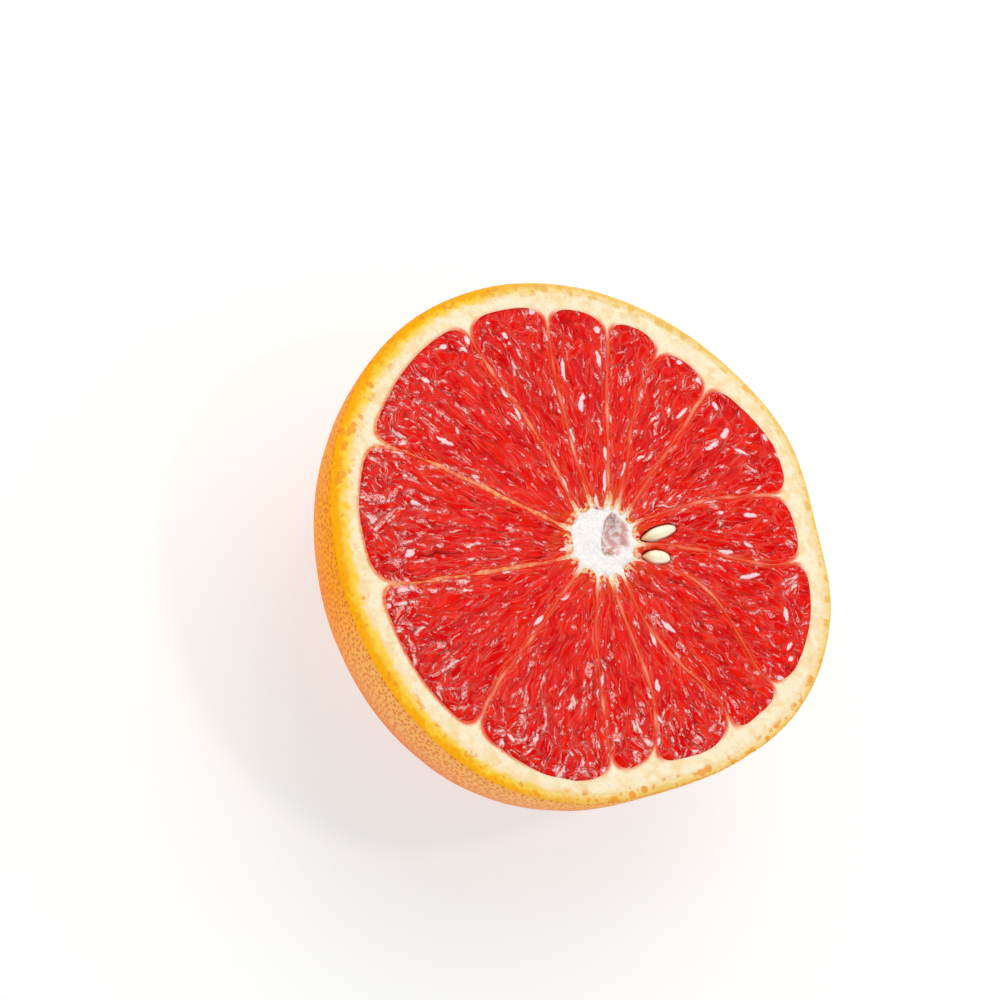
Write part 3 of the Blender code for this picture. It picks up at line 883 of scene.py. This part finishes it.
def make_rind(material):
    patches = Patches()
    angles = full_turn(RIND_SIDES)
    profile = rind_profile()
    rings = []
    for inset, drop, _ in profile:
        rings.append(level_ring(uneven(MEAN_RADIUS - inset, angles), angles, CUT_HEIGHT - drop))
    start = math.asin(RIM_CHAMFER / FRUIT_DEPTH)
    stop = math.asin(CUT_HEIGHT / FRUIT_DEPTH)
    for turn in np.linspace(start, stop, RIND_RINGS)[1:]:
        rings.append(dome_ring(RIND_SIDES, 0.0, turn / stop))
    flat_radius = MEAN_RADIUS * math.cos(stop)
    for share in FLAT_SPOT_RINGS:
        rings.append(level_ring(flat_radius * share, angles, 0.0))
    cut = np.zeros((len(rings), RIND_SIDES))
    cut[:len(profile)] = [[row[2]] for row in profile]
    cut = cut.ravel()
    points = rind_relief(np.concatenate(rings), cut)
    ids = patches.add(points).reshape(len(rings), RIND_SIDES)
    for above, below in zip(ids[:-1], ids[1:]):
        patches.band(above, below)
    middle = patches.add([[0.0, 0.0, 0.0]])[0]
    patches.fan(ids[-1], middle)
    close_dome(patches, ids[0], RIND_THICKNESS)
    height = points[:, 2] / CUT_HEIGHT
    angle = np.arctan2(points[:, 1], points[:, 0])
    from_outside = outline_radius(angle) - np.hypot(points[:, 0], points[:, 1])
    colour = {
        "face": np.column_stack((cut, height, from_outside / golden_width(angle))),
        "side": rind_side(angle),
        "skin": skin_map(points, angle),
    }
    obj = patches.build("rind_skin", material, colour)
    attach(obj, "root")
    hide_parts("rind")


def skin_map(points, angle):
    """Flat map of the bowl round the middle of its underside, in gland spacings at the rim."""
    out = np.hypot(points[:, 0], points[:, 1]) / outline_radius(angle)
    down = np.clip((CUT_HEIGHT - points[:, 2]) / FRUIT_DEPTH, 0.0, 1.0)
    turn = np.arctan2(down, np.maximum(out, 1e-6))
    reach = MEAN_RADIUS / GLAND_SPACING * np.tan(math.pi / 4.0 - turn / 2.0) ** MAP_GROWTH
    return np.column_stack((reach * np.cos(angle), reach * np.sin(angle), np.zeros(len(points))))


def rind_relief(points, cut):
    """Move the skin's points inward for its lumps, dimples and the scar under it."""
    middle = np.array((0.0, 0.0, CUT_HEIGHT))
    outward = points - middle
    outward[:, 2] *= (MEAN_RADIUS / FRUIT_DEPTH) ** 2
    outward /= np.maximum(np.linalg.norm(outward, axis=1), MM)[:, None]
    lumps = layered(31, 3, *(points / LUMP_SIZE).T)
    skin = 1.0 - cut
    inward = ENVELOPE_INSET + 0.10 * MM * (1.0 + np.clip(lumps, -1.0, 1.0)) * skin
    inward = inward + 0.10 * MM * gland_dimples(points) * skin
    on_side = ease(0.2 * MM, 3.0 * MM, points[:, 2])
    moved = points - outward * (inward * on_side)[:, None]
    scar = np.exp(-(np.hypot(points[:, 0], points[:, 1]) / SCAR_WIDTH) ** 2)
    moved[:, 2] += SCAR_DEPTH * (scar * (points[:, 2] < MM))
    cut_relief = 0.05 * MM * layered(33, 2, points[:, 0] / MM, points[:, 1] / MM)
    moved[:, 2] -= np.where(cut > 0.5, 0.05 * MM + cut_relief, 0.0)
    return moved


# Seeds

def make_seed(name, size, material):
    x, y, length, width, height, heading = size
    patches = Patches()
    rounds = full_turn(SEED_SIDES)
    rings = []
    for turn in np.linspace(0.0, math.pi, SEED_ROWS + 1)[1:-1]:
        ring = level_ring(math.sin(turn), rounds, math.cos(turn))
        rings.append(ring[:, (2, 0, 1)])
    unit = np.concatenate([[[1.0, 0.0, 0.0]], *rings, [[-1.0, 0.0, 0.0]]])
    taper = 1.0 - SEED_TAPER * np.maximum(0.0, -unit[:, 0]) ** 2
    wrinkle = 1.0 - 0.05 * (1.0 + noise(51, *(unit * (1.5, 4.0, 4.0)).T))
    along = unit[:, 0] * length / 2.0 * 0.99
    across = unit[:, 1] * width / 2.0 * taper * wrinkle
    up = unit[:, 2] * height / 2.0 * taper * wrinkle
    points = np.column_stack((
        x + along * math.cos(heading) - across * math.sin(heading),
        y + along * math.sin(heading) + across * math.cos(heading),
        np.minimum(CUT_HEIGHT - SEED_SINK + up, HIGHEST),
    ))
    ids = patches.add(points)
    grid = ids[1:-1].reshape(SEED_ROWS - 1, SEED_SIDES)
    for above, below in zip(grid[:-1], grid[1:]):
        patches.band(above, below)
    patches.fan(grid[0], ids[0], flip=True)
    patches.fan(grid[-1], ids[-1])
    colour = {"along": unit[:, :1] * 0.5 + 0.5}
    obj = patches.build(f"{name}_coat", material, colour)
    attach(obj, "root")
    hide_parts(name)


# Materials

def tint(red, green, blue):
    """Colour given in display values from 0 to 255, as the linear colour that shaders use."""
    return tuple(
        value / 255.0 / 12.92 if value <= 10.3 else ((value / 255.0 + 0.055) / 1.055) ** 2.4
        for value in (red, green, blue)
    ) + (1.0,)


class Look:
    """One procedural material, built up node by node."""

    def __init__(self, name):
        self.material = bpy.data.materials.new(name)
        self.material.use_nodes = True
        self.tree = self.material.node_tree
        self.shader = self.tree.nodes["Principled BSDF"]
        self.color = None
        self.place = self.node("ShaderNodeTexCoord").outputs["Object"]

    def node(self, kind, **settings):
        made = self.tree.nodes.new(kind)
        for key, value in settings.items():
            setattr(made, key, value)
        return made

    def feed(self, socket, value):
        if isinstance(value, bpy.types.NodeSocket):
            self.tree.links.new(value, socket)
        else:
            socket.default_value = value

    def attribute(self, name):
        """The four channels of a colour attribute."""
        source = self.node("ShaderNodeAttribute", attribute_name=name)
        split = self.node("ShaderNodeSeparateColor")
        self.feed(split.inputs[0], source.outputs["Color"])
        return [*split.outputs, source.outputs["Alpha"]]

    def vector(self, name):
        return self.node("ShaderNodeAttribute", attribute_name=name).outputs["Vector"]

    def math(self, operation, first, second=0.0):
        made = self.node("ShaderNodeMath", operation=operation)
        self.feed(made.inputs[0], first)
        self.feed(made.inputs[1], second)
        return made.outputs[0]

    def times(self, first, second):
        return self.math("MULTIPLY", first, second)

    def plus(self, first, second):
        return self.math("ADD", first, second)

    def spread(self, value, middle, amount):
        """How far a value is from a middle value, times an amount."""
        return self.times(self.math("SUBTRACT", value, middle), amount)

    def between(self, value, low, high, to_low=0.0, to_high=1.0):
        """Smooth step of a value between two limits."""
        made = self.node("ShaderNodeMapRange", interpolation_type="SMOOTHSTEP")
        for socket, number in zip(made.inputs, (value, low, high, to_low, to_high)):
            self.feed(socket, number)
        return made.outputs[0]

    def mix(self, share, first, second):
        made = self.node("ShaderNodeMix", data_type="RGBA")
        self.feed(made.inputs[0], share)
        self.feed(made.inputs[6], first)
        self.feed(made.inputs[7], second)
        return made.outputs[2]

    def cover(self, share, color):
        """Lay a colour over the colour so far."""
        self.color = self.mix(share, self.color, color)

    def paint(self, share, red, green, blue):
        self.cover(share, tint(red, green, blue))

    def noise(self, size, detail=2.0, rough=0.5, place=None):
        """Noise whose lumps are about the given size."""
        made = self.node("ShaderNodeTexNoise")
        self.feed(made.inputs["Vector"], place or self.place)
        made.inputs["Scale"].default_value = 1.0 / size
        made.inputs["Detail"].default_value = detail
        made.inputs["Roughness"].default_value = rough
        return made.outputs[0]

    def stretched(self, place, *shares):
        """Place multiplied by a share along each axis."""
        made = self.node("ShaderNodeVectorMath", operation="MULTIPLY")
        self.feed(made.inputs[0], place)
        made.inputs[1].default_value = shares
        return made.outputs[0]

    def cells(self, size, randomness=1.0, flat=None):
        """Distance from the nearest of many scattered points, in cell sizes."""
        made = self.node("ShaderNodeTexVoronoi", voronoi_dimensions="2D" if flat else "3D")
        self.feed(made.inputs["Vector"], flat or self.place)
        made.inputs["Scale"].default_value = 1.0 / size
        made.inputs["Randomness"].default_value = randomness
        return made.outputs["Distance"]

    def bump(self, height, distance, strength=1.0, after=None):
        made = self.node("ShaderNodeBump")
        made.inputs["Strength"].default_value = strength
        made.inputs["Distance"].default_value = distance
        self.feed(made.inputs["Height"], height)
        if after is not None:
            self.feed(made.inputs["Normal"], after)
        return made.outputs[0]

    def finish(self, roughness, normal=None, **fixed):
        """Set the shader's sockets, with each fixed value on the socket of its name."""
        self.feed(self.shader.inputs["Base Color"], self.color)
        self.feed(self.shader.inputs["Roughness"], roughness)
        if normal is not None:
            self.feed(self.shader.inputs["Normal"], normal)
        for key, value in fixed.items():
            self.shader.inputs[key.replace("_", " ")].default_value = value
        return self.material


def pulp_look():
    look = Look("juicy_pulp")
    skin, rough, tone, deep = look.attribute("sac")
    core, side, pale_sac, arm = look.attribute("zone")
    grain = look.vector("grain")
    patch = look.noise(1.0, 2.0, 0.5, look.stretched(grain, 0.30, 0.70, 1.0))
    curls = look.noise(1.0, 1.6, 0.55, look.stretched(grain, 0.54, 1.45, 1.0))
    large = look.noise(1.0, 1.6, 0.55, look.stretched(grain, 0.42, 1.15, 1.7))
    outer, flecked = look.attribute("outer")[:2]
    larger = look.times(look.math("SUBTRACT", large, curls), look.between(outer, 0.14, 0.34))
    curls = look.plus(curls, larger)
    lines = look.noise(1.0, 2.0, 0.5, look.stretched(grain, 0.22, 4.6, 1.0))
    broad = look.noise(4.0 * MM, 3.0)
    speck = look.noise(0.34 * MM, 2.0)
    look.color = look.mix(tone, tint(212, 0, 8), tint(234, 10, 8))
    look.paint(look.between(broad, 0.44, 0.64, 0.0, 0.7), 240, 34, 14)
    veil = look.plus(side, look.spread(broad, 0.5, 0.5))
    look.paint(look.between(veil, 0.04, 0.22, 0.55, 0.0), 240, 66, 22)
    warm = look.times(core, look.between(look.noise(2.4 * MM, 3.0), 0.42, 0.60, 0.1, 0.85))
    look.paint(warm, 226, 96, 24)
    look.paint(look.between(lines, 0.61, 0.65, 0.0, 0.45), 238, 84, 62)
    look.paint(look.times(skin, 0.40), 240, 96, 74)
    thread = look.plus(side, look.spread(look.noise(2.4 * MM, 2.0), 0.5, 0.6))
    thread = look.math("ABSOLUTE", look.math("SUBTRACT", thread, 0.20))
    thread = look.between(thread, 0.010, 0.030, 0.5, 0.0)
    look.paint(thread, 242, 112, 70)
    # Painted shade: the low places of the relief painted darker red
    look.paint(look.times(deep, 0.3), 150, 0, 4)
    # Flecks of torn sac skin, which also stand for painted highlights
    torn_skin_and_glint = look.plus(curls, look.spread(patch, 0.5, 0.55))
    torn_skin_and_glint = look.plus(torn_skin_and_glint, look.spread(rough, 0.6, 0.16))
    more = look.times(outer, look.between(flecked, 0.15, 0.75, 0.02, 0.105))
    torn_skin_and_glint = look.plus(torn_skin_and_glint, more)
    # Painted shade: a dark red rim round each fleck
    look.paint(look.between(torn_skin_and_glint, 0.540, 0.585, 0.0, 0.75), 152, 0, 10)
    # Pale pink: torn skin, partly painted highlight
    look.paint(look.between(torn_skin_and_glint, 0.585, 0.600, 0.0, 0.95), 250, 156, 144)
    # Pink patches with pale painted-highlight specks and dark red painted-shade specks
    pink_skin_and_glint = look.mix(look.between(speck, 0.50, 0.60), tint(230, 96, 94), tint(252, 192, 186))
    pink_skin_and_glint = look.mix(look.between(speck, 0.35, 0.41, 0.7, 0.0), pink_skin_and_glint, tint(168, 20, 30))
    look.cover(look.between(torn_skin_and_glint, 0.604, 0.622), pink_skin_and_glint)
    # Painted highlight: near-white spots on the flecks
    look.paint(look.between(torn_skin_and_glint, 0.725, 0.745, 0.0, 0.9), 255, 216, 214)
    # Pale pink streaks on the torn parts: sac skin, partly painted sheen
    pale_streak_and_sheen = look.noise(1.0, 1.0, 0.5, look.stretched(grain, 0.42, 2.9, 1.3))
    pale_streak_and_sheen = look.times(look.between(pale_streak_and_sheen, 0.64, 0.665), look.between(rough, 0.0, 0.3, 0.2, 0.8))
    look.paint(pale_streak_and_sheen, 248, 150, 140)
    look.paint(look.times(pale_sac, 0.9), 253, 222, 226)
    cream = look.mix(look.between(speck, 0.42, 0.58), tint(240, 178, 104), tint(252, 236, 204))
    look.cover(arm, cream)
    bumps = look.plus(look.between(torn_skin_and_glint, 0.55, 0.64), look.times(curls, 0.4))
    normal = look.bump(bumps, 0.07 * MM, 0.8)
    return look.finish(
        0.3, normal, Coat_Weight=0.12, Coat_Roughness=0.03, Specular_IOR_Level=0.02,
        Subsurface_Weight=0.06, Subsurface_Scale=0.0005, Subsurface_Radius=(1.0, 0.1, 0.06),
    )


def pith_look():
    look = Look("spongy_pith")
    core, membrane, torn, by_pulp = look.attribute("place")
    depth, strength, hollow_rim_shade = look.attribute("depth")[:3]
    mottle = look.noise(2.2 * MM, 4.0, 0.6)
    fine = look.noise(0.5 * MM, 3.0)
    mottle = look.between(mottle, 0.40, 0.66)
    look.color = look.mix(mottle, tint(254, 238, 204), tint(250, 219, 166))
    look.paint(look.between(fine, 0.58, 0.68, 0.0, 0.4), 236, 198, 146)
    look.paint(look.times(by_pulp, 0.15), 248, 190, 140)
    golden_edge(look, depth, *look.attribute("side")[:2])
    plain = look.times(membrane, look.between(strength, 0.0, 1.0, 0.15, 0.95))
    plain = look.times(plain, look.between(look.noise(2.6 * MM, 2.0), 0.38, 0.55, 0.35, 1.0))
    look.paint(membrane, 236, 60, 30)
    ribbon = look.mix(look.between(strength, 0.45, 0.85), tint(242, 116, 88), tint(250, 180, 112))
    patches = look.between(look.noise(0.9 * MM, 3.0), 0.40, 0.60)
    ribbon = look.mix(patches, tint(240, 104, 58), ribbon)
    look.cover(plain, ribbon)
    white = look.mix(look.between(fine, 0.35, 0.65), tint(255, 253, 252), tint(244, 234, 230))
    look.cover(core, white)
    # Darker pinkish grey in places over the torn hollow
    hollow_tint = look.times(torn, look.between(look.noise(1.3 * MM, 4.0), 0.36, 0.62, 0.15, 0.95))
    look.paint(hollow_tint, 214, 156, 146)
    # Painted shade along one side of the hollow's rim, ragged
    ragged_shade = look.times(hollow_rim_shade, look.between(look.noise(0.6 * MM, 3.0), 0.40, 0.52))
    look.paint(look.times(ragged_shade, 0.85), 136, 92, 82)
    normal = look.bump(look.noise(0.35 * MM, 3.0, 0.6), 0.08 * MM, 0.6)
    return look.finish(
        0.6, normal, Coat_Weight=0.05, Coat_Roughness=0.25, Specular_IOR_Level=0.25,
        Subsurface_Weight=0.12, Subsurface_Scale=0.001, Subsurface_Radius=(1.0, 0.7, 0.45),
    )


def golden_edge(look, depth, red, gold):
    """Lay the golden band of the cut peel's outer part over the colour so far."""
    wander = look.spread(look.noise(3.0 * MM, 3.0), 0.5, 0.9)
    scallops = look.spread(look.noise(1.1 * MM, 2.0), 0.5, 0.7)
    place = look.plus(look.plus(depth, wander), scallops)
    plain = look.between(gold, 0.15, 0.55)
    for inner, outer, least, pale, strong in (
        (1.25, 0.75, 0.35, tint(240, 206, 100), tint(254, 208, 60)),
        (0.80, 0.30, 0.7, tint(236, 192, 72), tint(250, 174, 10)),
    ):
        reached = look.between(place, outer, inner, 1.0, 0.0)
        share = look.times(reached, look.between(plain, 0.0, 1.0, least, 1.0))
        look.cover(share, look.mix(plain, pale, strong))
    blobs = look.between(look.noise(2.3 * MM, 2.0), 0.60, 0.65, 0.0, 0.75)
    dots = look.between(look.cells(2.6 * MM), 0.30, 0.38, 0.85, 0.0)
    blobs = look.math("MAXIMUM", blobs, look.times(dots, look.between(plain, 0.2, 0.8, 1.0, 0.0)))
    blobs = look.times(blobs, look.between(depth, 0.9, 1.5, 1.0, 0.0))
    colored = look.math("MAXIMUM", look.between(red, 0.0, 0.6), plain)
    look.cover(blobs, look.mix(colored, tint(238, 190, 92), tint(242, 150, 36)))


def rind_look():
    look = Look("orange_rind")
    cut, height, depth = look.attribute("face")[:3]
    red, gold, pale = look.attribute("side")[:3]
    glands = look.cells(1.0, 0.85, look.vector("skin"))
    broad = look.noise(18.0 * MM, 3.0)
    look.color = look.mix(look.between(broad, 0.38, 0.62), tint(250, 150, 16), tint(246, 128, 22))
    top = look.between(height, 0.6, 0.97)
    look.paint(look.times(look.between(gold, 0.2, 0.6, 1.0, 0.0), top), 236, 198, 84)
    look.paint(look.times(gold, top), 248, 158, 14)
    # Redder and darker lower down on the reddish side: partly the rind's own blush, partly painted
    # shade
    look.paint(look.times(red, look.between(height, 0.97, 0.75, 0.2, 0.9)), 230, 98, 26)
    # Painted sheen: the rind painted paler towards the cut on one side
    sheen_top = look.times(pale, look.between(height, 0.55, 0.85, 0.0, 0.62))
    look.paint(sheen_top, 238, 186, 116)
    look.paint(look.between(glands, 0.22, 0.38, 0.66, 0.0), 216, 86, 8)
    outside = look.color
    look.color = tint(252, 226, 176)
    golden_edge(look, depth, red, gold)
    spots = look.between(look.cells(1.2 * MM), 0.26, 0.42, 0.45, 0.0)
    look.paint(look.times(spots, look.between(gold, 0.1, 0.5, 0.3, 1.0)), 244, 152, 20)
    look.color = look.mix(look.between(cut, 0.35, 0.8), outside, look.color)
    dimples = look.math("MAXIMUM", look.between(glands, 0.08, 0.42), cut)
    normal = look.bump(dimples, 0.10 * MM, 0.9)
    normal = look.bump(look.noise(0.3 * MM, 3.0), 0.03 * MM, 0.5, normal)
    return look.finish(
        look.between(look.noise(1.2 * MM), 0.3, 0.7, 0.36, 0.48), normal,
        Specular_IOR_Level=0.03,
        Subsurface_Weight=0.06, Subsurface_Scale=0.001, Subsurface_Radius=(1.0, 0.4, 0.1),
    )


def seed_look():
    look = Look("seed_coat")
    along = look.attribute("along")[0]
    pale = look.between(along, 0.05, 0.45)
    look.color = look.mix(pale, tint(240, 214, 160), tint(252, 246, 218))
    look.paint(look.between(look.noise(1.1 * MM, 3.0), 0.5, 0.7, 0.0, 0.5), 244, 226, 176)
    normal = look.bump(look.noise(0.5 * MM, 2.0), 0.05 * MM, 0.4)
    return look.finish(0.3, normal, Coat_Weight=0.5, Coat_Roughness=0.08)


def floor_look():
    look = Look("glowing_floor")
    # The floor glows bluish over a pinkish base: painted light that keeps the fruit's shadow on it
    # grey
    look.color = tint(206, 184, 180)
    return look.finish(
        0.8, Specular_IOR_Level=0.02,
        Emission_Color=(0.72, 0.98, 1.0, 1.0), Emission_Strength=0.58,
    )


# Light and camera

FOCAL_PIXELS = 5055.0
IMAGE_PIXELS = 1000.0
SENSOR = 36.0
CAMERA_DISTANCE = 1.0
ELEVATION = math.radians(61.0)
ROLL = math.radians(52.8)
# The point of the cut face that the camera is set out from, and where it shows in the image
TARGET = Vector((0.455 * MM, -1.141 * MM, CUT_HEIGHT))
TARGET_PIXEL = (577.0, 545.0)

FLOOR_HALF = 4.0
# Strength of the light from the sky round the horizon and overhead, and how far up it fades
SKY_LOW = 2.0
SKY_HIGH = 0.10
SKY_TURN = 0.8
# Direction, distance, width, height and power of each softbox
SOFTBOXES = {
    "key": ((-0.30, 0.34, 0.90), 1.1, 0.80, 0.80, 6.0),
    "glint": ((0.25, 0.20, 0.95), 1.2, 0.12, 0.12, 2.0),
}


def camera_axes():
    """Right, up and back of the camera, as a matrix's columns."""
    back = Vector((0.0, -math.cos(ELEVATION), math.sin(ELEVATION)))
    level = Vector((1.0, 0.0, 0.0))
    rise = back.cross(level)
    right = math.cos(ROLL) * level + math.sin(ROLL) * rise
    up = math.cos(ROLL) * rise - math.sin(ROLL) * level
    return right, up, back


def make_camera():
    right, up, back = camera_axes()
    centre = Vector(outline_centre())
    aside = (TARGET_PIXEL[0] - IMAGE_PIXELS / 2.0) / FOCAL_PIXELS * CAMERA_DISTANCE
    above = (IMAGE_PIXELS / 2.0 - TARGET_PIXEL[1]) / FOCAL_PIXELS * CAMERA_DISTANCE
    place = TARGET - centre - aside * right - above * up + CAMERA_DISTANCE * back
    data = bpy.data.cameras.new("camera")
    data.sensor_width = SENSOR
    data.lens = FOCAL_PIXELS / IMAGE_PIXELS * SENSOR
    data.clip_start = 0.01
    data.clip_end = 100.0
    camera = bpy.data.objects.new("camera", data)
    axes = Matrix((right, up, back)).transposed().to_4x4()
    camera.matrix_world = Matrix.Translation(place) @ axes
    bpy.context.scene.collection.objects.link(camera)
    bpy.context.scene.camera = camera


def softbox(name, direction, distance, width, height, power):
    """Rectangular light that shines on the fruit from a direction."""
    data = bpy.data.lights.new(name, "AREA")
    data.shape = "RECTANGLE"
    data.size = width
    data.size_y = height
    data.energy = power
    light = bpy.data.objects.new(name, data)
    away = Vector(direction).normalized()
    light.location = Vector((0.0, 0.0, CUT_HEIGHT)) + distance * away
    light.rotation_mode = "QUATERNION"
    light.rotation_quaternion = (-away).to_track_quat("-Z", "Y")
    bpy.context.scene.collection.objects.link(light)


def make_studio():
    scene = bpy.context.scene
    world = bpy.data.worlds.new("studio")
    world.use_nodes = True
    nodes, links = world.node_tree.nodes, world.node_tree.links
    background = nodes["Background"]
    background.inputs["Color"].default_value = (1.0, 1.0, 1.0, 1.0)
    split = nodes.new("ShaderNodeSeparateXYZ")
    fade = nodes.new("ShaderNodeMapRange")
    links.new(nodes.new("ShaderNodeTexCoord").outputs["Generated"], split.inputs[0])
    links.new(split.outputs["Z"], fade.inputs["Value"])
    fade.inputs["From Max"].default_value = SKY_TURN
    fade.inputs["To Min"].default_value = SKY_LOW
    fade.inputs["To Max"].default_value = SKY_HIGH
    links.new(fade.outputs[0], background.inputs["Strength"])
    scene.world = world
    scene.view_settings.view_transform = "Standard"
    for name, values in SOFTBOXES.items():
        softbox(name, *values)
    data = bpy.data.meshes.new("floor")
    signs = ((-1, -1), (1, -1), (1, 1), (-1, 1))
    corners = [(x * FLOOR_HALF, y * FLOOR_HALF, 0.0) for x, y in signs]
    data.from_pydata(corners, [], [(0, 1, 2, 3)])
    floor = bpy.data.objects.new("floor", data)
    scene.collection.objects.link(floor)
    data.materials.append(floor_look())


juicy = pulp_look()
for segment in range(WALL_COUNT):
    make_pulp(segment, juicy)
make_pith(pith_look())
make_rind(rind_look())
coat = seed_look()
for seed_name, seed_size in SEEDS.items():
    make_seed(seed_name, seed_size, coat)
make_studio()
make_camera()
